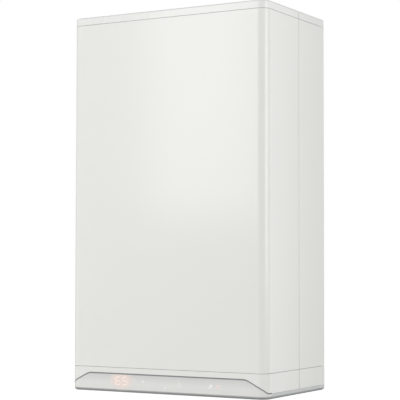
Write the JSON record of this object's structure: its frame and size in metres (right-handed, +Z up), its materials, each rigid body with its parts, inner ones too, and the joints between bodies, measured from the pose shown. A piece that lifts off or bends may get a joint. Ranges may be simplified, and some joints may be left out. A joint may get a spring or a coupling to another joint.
{
  "type": "combi boiler",
  "caption": "Wall-hung condensing combi boiler in a tall white sheet-metal casing with rounded front corners and a grey glossy touch fascia along its lower front edge.",
  "frame": {"origin": "middle of the wall bracket, on the wall plane", "axes": "+X to the right as seen from the front, +Y into the wall, +Z up; the front faces -Y"},
  "size_m": [0.45, 0.265, 0.791],
  "materials": {
    "white_paint": "gloss white powder coat",
    "grey_fascia": "glossy light grey, slightly translucent",
    "galvanised": "dull zinc with fine spangle",
    "stainless": "satin stainless steel",
    "cast_aluminium": "as-cast, lightly blasted",
    "copper": "drawn copper, slightly dulled",
    "brass": "forged brass, turned faces brighter",
    "dark_moulding": "fine-textured near-black plastic",
    "grey_moulding": "fine-textured mid-grey plastic",
    "white_moulding": "smooth off-white plastic",
    "red_paint": "semi-gloss red stove enamel",
    "red_moulding": "smooth red plastic",
    "green_board": "green solder resist with dark components",
    "gasket": "pressed fibre and rubber",
    "silicone": "red-brown silicone"
  },
  "bodies": {
    "chassis": {"side_panel_left": "white_paint", "side_panel_right": "white_paint", "rear_top_cap": "white_paint", "rear_lower_band": "white_paint", "base_tray": "grey_fascia", "top_plate": "galvanised", "back_plate": "galvanised", "wall_bracket": "galvanised", "flue_socket": "white_moulding", "flue_pipe": "white_moulding", "hx_housing": "stainless", "hx_coil": "stainless", "hx_header": "cast_aluminium", "door_gasket": "gasket", "burner_door": "cast_aluminium", "burner_tube": "stainless", "electrode_pair": "white_moulding", "mixing_duct": "cast_aluminium", "fan_housing": "cast_aluminium", "fan_motor": "dark_moulding", "venturi_mixer": "dark_moulding", "gas_valve": "cast_aluminium", "gas_valve_solenoid": "dark_moulding", "gas_inlet_pipe": "copper", "gas_outlet_pipe": "copper", "ignition_unit": "dark_moulding", "ignition_lead": "silicone", "expansion_vessel": "red_paint", "vessel_bracket": "galvanised", "vessel_hose": "dark_moulding", "hx_flow_pipe": "copper", "hx_return_pipe": "copper", "air_vent": "brass", "flow_block": "brass", "diverter_actuator": "dark_moulding", "return_block": "brass", "plate_exchanger": "stainless", "pump_housing": "grey_moulding", "pump_motor": "dark_moulding", "relief_valve": "brass", "flow_sensor_body": "brass", "trap_head": "grey_moulding", "condensate_hose": "grey_moulding", "control_housing": "dark_moulding", "control_cover": "dark_moulding", "main_board": "green_board", "display_board": "green_board"},
    "front_cover": {"front_panel": "white_paint", "front_top_cap": "white_paint", "front_lower_band": "white_paint", "display_fascia": "grey_fascia"},
    "lock_left": {"cover_lock_left": "stainless"},
    "lock_right": {"cover_lock_right": "stainless"},
    "fan_rotor": {"fan_impeller": "dark_moulding"},
    "pump_rotor": {"pump_impeller": "dark_moulding"},
    "diverter": {"diverter_spindle": "stainless"},
    "relief_handle": {"relief_knob": "red_moulding"},
    "turbine": {"flow_turbine": "white_moulding"},
    "trap_bowl": {"trap_cup": "white_moulding"}
  },
  "joints": [
    {"name": "front_cover_slide", "type": "slide", "parent": "chassis", "child": "front_cover", "axis": [0, -1, 0], "range_m": [0, 0.28]},
    {"name": "lock_left_turn", "type": "hinge", "parent": "chassis", "child": "lock_left", "pos_m": [-0.15, -0.233, -0.692], "axis": [0, 0, 1], "range_deg": [0, 90]},
    {"name": "lock_right_turn", "type": "hinge", "parent": "chassis", "child": "lock_right", "pos_m": [0.15, -0.233, -0.692], "axis": [0, 0, 1], "range_deg": [0, 90]},
    {"name": "fan_spin", "type": "hinge", "parent": "chassis", "child": "fan_rotor", "pos_m": [-0.01, -0.2113, -0.335], "axis": [0, -1, 0], "continuous": true},
    {"name": "pump_spin", "type": "hinge", "parent": "chassis", "child": "pump_rotor", "pos_m": [0.13, -0.094, -0.55], "axis": [0, -1, 0], "continuous": true},
    {"name": "diverter_travel", "type": "slide", "parent": "chassis", "child": "diverter", "axis": [0, 0, -1], "range_m": [0, 0.006], "stiffness_N_per_m": 1500, "springref_m": -0.003},
    {"name": "relief_twist", "type": "hinge", "parent": "chassis", "child": "relief_handle", "pos_m": [0.19, -0.055, -0.55], "axis": [1, 0, 0], "range_deg": [0, 90]},
    {"name": "turbine_spin", "type": "hinge", "parent": "chassis", "child": "turbine", "pos_m": [0.065, -0.055, -0.64], "axis": [0, 0, 1], "continuous": true},
    {"name": "trap_bowl_slide", "type": "slide", "parent": "chassis", "child": "trap_bowl", "axis": [0, 0, -1], "range_m": [0, 0.15]}
  ]
}
